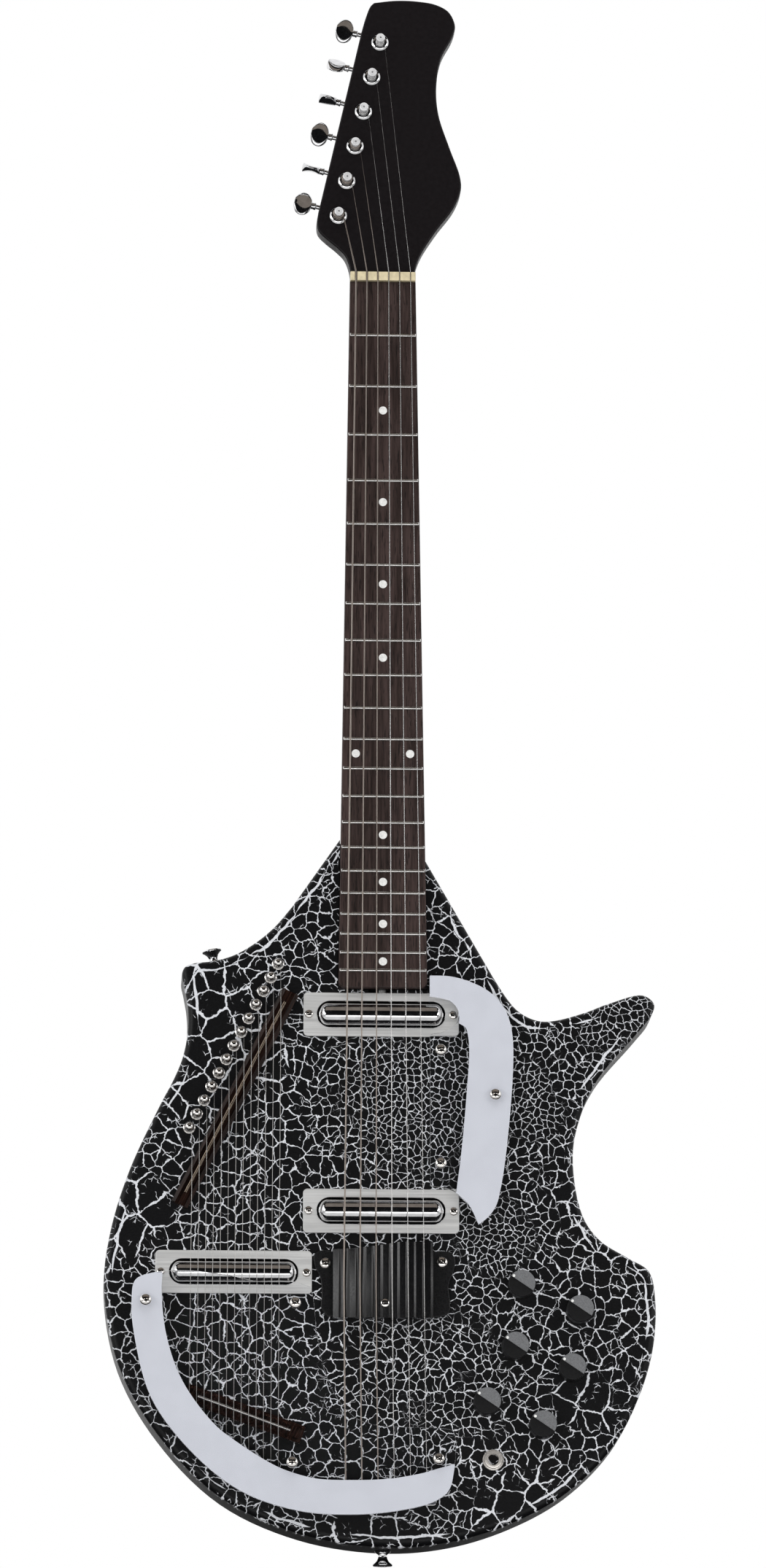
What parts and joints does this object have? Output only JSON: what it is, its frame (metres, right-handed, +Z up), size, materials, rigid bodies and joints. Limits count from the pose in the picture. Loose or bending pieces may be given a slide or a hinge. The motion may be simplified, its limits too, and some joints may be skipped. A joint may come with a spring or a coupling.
{
  "type": "electric sitar guitar",
  "caption": "Solid-body electric sitar with a buzzing ridged bridge, drone strings on tuning pegs beside the neck, clear armrest and pickguard, and turning knobs.",
  "frame": {"origin": "on the flat back of the body, behind the middle of the bridge line", "axes": "+Z up the neck to the headstock, -Y out of the instrument's face, +X to the side of the controls"},
  "size_m": [0.3414, 0.0603, 1.0044],
  "materials": {
    "crackle_lacquer": "satin black crackle lacquer with fine white cracks",
    "black_lacquer": "black lacquer",
    "black_plastic": "black plastic",
    "bridge_plastic": "satin black moulding",
    "rosewood": "open-grained rosewood",
    "nut": "cream nut",
    "chrome": "polished chrome",
    "tuner_metal": "nickel plate",
    "brushed_aluminium": "brushed aluminium",
    "steel": "plain steel",
    "string_steel": "string wire",
    "clear_acrylic": "clear sheet, painted white underneath along one side"
  },
  "bodies": {
    "instrument": {"body": "crackle_lacquer", "control_cavity_cover": "black_plastic", "neck": "black_lacquer", "truss_rod": "steel", "fretboard": "rosewood", "nut": "nut", "neck_plate": "chrome", "tuner_plate": "tuner_metal", "upper_drone_bridge": "rosewood", "lower_drone_bridge": "rosewood", "sympathetic_strings": "string_steel", "pickup_tube_neck": "chrome", "pickup_ring_neck": "brushed_aluminium", "pickup_tube_bridge": "chrome", "pickup_ring_bridge": "brushed_aluminium", "pickup_tube_drone": "chrome", "pickup_ring_drone": "brushed_aluminium", "buzz_bridge_plate": "bridge_plastic", "buzz_bridge_block": "bridge_plastic", "playing_strings": "string_steel", "pickguard": "clear_acrylic", "armrest": "clear_acrylic", "control_plate": "steel", "output_jack": "chrome", "strap_button_end": "chrome", "strap_button_side": "chrome"},
    "button_1": {"tuner_button_1": "tuner_metal"},
    "post_1": {"tuner_post_1": "tuner_metal"},
    "button_2": {"tuner_button_2": "tuner_metal"},
    "post_2": {"tuner_post_2": "tuner_metal"},
    "button_3": {"tuner_button_3": "tuner_metal"},
    "post_3": {"tuner_post_3": "tuner_metal"},
    "button_4": {"tuner_button_4": "tuner_metal"},
    "post_4": {"tuner_post_4": "tuner_metal"},
    "button_5": {"tuner_button_5": "tuner_metal"},
    "post_5": {"tuner_post_5": "tuner_metal"},
    "button_6": {"tuner_button_6": "tuner_metal"},
    "post_6": {"tuner_post_6": "tuner_metal"},
    "peg_1": {"harp_peg_1": "chrome"},
    "peg_2": {"harp_peg_2": "chrome"},
    "peg_3": {"harp_peg_3": "chrome"},
    "peg_4": {"harp_peg_4": "chrome"},
    "peg_5": {"harp_peg_5": "chrome"},
    "peg_6": {"harp_peg_6": "chrome"},
    "peg_7": {"harp_peg_7": "chrome"},
    "peg_8": {"harp_peg_8": "chrome"},
    "peg_9": {"harp_peg_9": "chrome"},
    "peg_10": {"harp_peg_10": "chrome"},
    "peg_11": {"harp_peg_11": "chrome"},
    "peg_12": {"harp_peg_12": "chrome"},
    "peg_13": {"harp_peg_13": "chrome"},
    "knob_1": {"knob_1": "black_plastic"},
    "knob_2": {"knob_2": "black_plastic"},
    "knob_3": {"knob_3": "black_plastic"},
    "knob_4": {"knob_4": "black_plastic"},
    "knob_5": {"knob_5": "black_plastic"},
    "knob_6": {"knob_6": "black_plastic"}
  },
  "joints": [
    {"name": "tuner_1_button", "type": "hinge", "parent": "instrument", "child": "button_1", "pos_m": [0.00031, -0.0218, 0.80488], "axis": [-0.975, 0, 0.2222], "continuous": true},
    {"name": "tuner_1_post", "type": "hinge", "parent": "instrument", "child": "post_1", "pos_m": [-0.0016, -0.04, 0.7965], "axis": [0, -1, 0], "continuous": true},
    {"name": "tuner_2_button", "type": "hinge", "parent": "instrument", "child": "button_2", "pos_m": [-0.00499, -0.0218, 0.78163], "axis": [-0.975, 0, 0.2222], "continuous": true},
    {"name": "tuner_2_post", "type": "hinge", "parent": "instrument", "child": "post_2", "pos_m": [-0.0069, -0.04, 0.77324], "axis": [0, -1, 0], "continuous": true},
    {"name": "tuner_3_button", "type": "hinge", "parent": "instrument", "child": "button_3", "pos_m": [-0.01029, -0.0218, 0.75836], "axis": [-0.975, 0, 0.2222], "continuous": true},
    {"name": "tuner_3_post", "type": "hinge", "parent": "instrument", "child": "post_3", "pos_m": [-0.0122, -0.04, 0.74998], "axis": [0, -1, 0], "continuous": true},
    {"name": "tuner_4_button", "type": "hinge", "parent": "instrument", "child": "button_4", "pos_m": [-0.01559, -0.0218, 0.73511], "axis": [-0.975, 0, 0.2222], "continuous": true},
    {"name": "tuner_4_post", "type": "hinge", "parent": "instrument", "child": "post_4", "pos_m": [-0.0175, -0.04, 0.72672], "axis": [0, -1, 0], "continuous": true},
    {"name": "tuner_5_button", "type": "hinge", "parent": "instrument", "child": "button_5", "pos_m": [-0.02089, -0.0218, 0.71184], "axis": [-0.975, 0, 0.2222], "continuous": true},
    {"name": "tuner_5_post", "type": "hinge", "parent": "instrument", "child": "post_5", "pos_m": [-0.0228, -0.04, 0.70346], "axis": [0, -1, 0], "continuous": true},
    {"name": "tuner_6_button", "type": "hinge", "parent": "instrument", "child": "button_6", "pos_m": [-0.02619, -0.0218, 0.68859], "axis": [-0.975, 0, 0.2222], "continuous": true},
    {"name": "tuner_6_post", "type": "hinge", "parent": "instrument", "child": "post_6", "pos_m": [-0.0281, -0.04, 0.6802], "axis": [0, -1, 0], "continuous": true},
    {"name": "harp_peg_1_turn", "type": "hinge", "parent": "instrument", "child": "peg_1", "pos_m": [-0.065, -0.0413, 0.1935], "axis": [0, -1, 0], "continuous": true},
    {"name": "harp_peg_2_turn", "type": "hinge", "parent": "instrument", "child": "peg_2", "pos_m": [-0.06955, -0.0413, 0.18485], "axis": [0, -1, 0], "continuous": true},
    {"name": "harp_peg_3_turn", "type": "hinge", "parent": "instrument", "child": "peg_3", "pos_m": [-0.0741, -0.0413, 0.1762], "axis": [0, -1, 0], "continuous": true},
    {"name": "harp_peg_4_turn", "type": "hinge", "parent": "instrument", "child": "peg_4", "pos_m": [-0.07865, -0.0413, 0.16755], "axis": [0, -1, 0], "continuous": true},
    {"name": "harp_peg_5_turn", "type": "hinge", "parent": "instrument", "child": "peg_5", "pos_m": [-0.0832, -0.0413, 0.1589], "axis": [0, -1, 0], "continuous": true},
    {"name": "harp_peg_6_turn", "type": "hinge", "parent": "instrument", "child": "peg_6", "pos_m": [-0.08775, -0.0413, 0.15025], "axis": [0, -1, 0], "continuous": true},
    {"name": "harp_peg_7_turn", "type": "hinge", "parent": "instrument", "child": "peg_7", "pos_m": [-0.0923, -0.0413, 0.1416], "axis": [0, -1, 0], "continuous": true},
    {"name": "harp_peg_8_turn", "type": "hinge", "parent": "instrument", "child": "peg_8", "pos_m": [-0.09685, -0.0413, 0.13295], "axis": [0, -1, 0], "continuous": true},
    {"name": "harp_peg_9_turn", "type": "hinge", "parent": "instrument", "child": "peg_9", "pos_m": [-0.1014, -0.0413, 0.1243], "axis": [0, -1, 0], "continuous": true},
    {"name": "harp_peg_10_turn", "type": "hinge", "parent": "instrument", "child": "peg_10", "pos_m": [-0.10595, -0.0413, 0.11565], "axis": [0, -1, 0], "continuous": true},
    {"name": "harp_peg_11_turn", "type": "hinge", "parent": "instrument", "child": "peg_11", "pos_m": [-0.1105, -0.0413, 0.107], "axis": [0, -1, 0], "continuous": true},
    {"name": "harp_peg_12_turn", "type": "hinge", "parent": "instrument", "child": "peg_12", "pos_m": [-0.11505, -0.0413, 0.09835], "axis": [0, -1, 0], "continuous": true},
    {"name": "harp_peg_13_turn", "type": "hinge", "parent": "instrument", "child": "peg_13", "pos_m": [-0.1196, -0.0413, 0.0897], "axis": [0, -1, 0], "continuous": true},
    {"name": "knob_1_turn", "type": "hinge", "parent": "instrument", "child": "knob_1", "pos_m": [0.0856, -0.0417, -0.0074], "axis": [0, -1, 0], "range_deg": [-206, 94]},
    {"name": "knob_2_turn", "type": "hinge", "parent": "instrument", "child": "knob_2", "pos_m": [0.1216, -0.0417, -0.0228], "axis": [0, -1, 0], "range_deg": [-206, 94]},
    {"name": "knob_3_turn", "type": "hinge", "parent": "instrument", "child": "knob_3", "pos_m": [0.0815, -0.0417, -0.0458], "axis": [0, -1, 0], "range_deg": [-206, 94]},
    {"name": "knob_4_turn", "type": "hinge", "parent": "instrument", "child": "knob_4", "pos_m": [0.1165, -0.0417, -0.0589], "axis": [0, -1, 0], "range_deg": [-206, 94]},
    {"name": "knob_5_turn", "type": "hinge", "parent": "instrument", "child": "knob_5", "pos_m": [0.0641, -0.0417, -0.0803], "axis": [0, -1, 0], "range_deg": [-206, 94]},
    {"name": "knob_6_turn", "type": "hinge", "parent": "instrument", "child": "knob_6", "pos_m": [0.0984, -0.0417, -0.0943], "axis": [0, -1, 0], "range_deg": [-206, 94]}
  ],
  "couplings": [
    {"joint": "tuner_1_post", "follows": "tuner_1_button", "ratio": 0.071429},
    {"joint": "tuner_2_post", "follows": "tuner_2_button", "ratio": 0.071429},
    {"joint": "tuner_3_post", "follows": "tuner_3_button", "ratio": 0.071429},
    {"joint": "tuner_4_post", "follows": "tuner_4_button", "ratio": 0.071429},
    {"joint": "tuner_5_post", "follows": "tuner_5_button", "ratio": 0.071429},
    {"joint": "tuner_6_post", "follows": "tuner_6_button", "ratio": 0.071429}
  ]
}
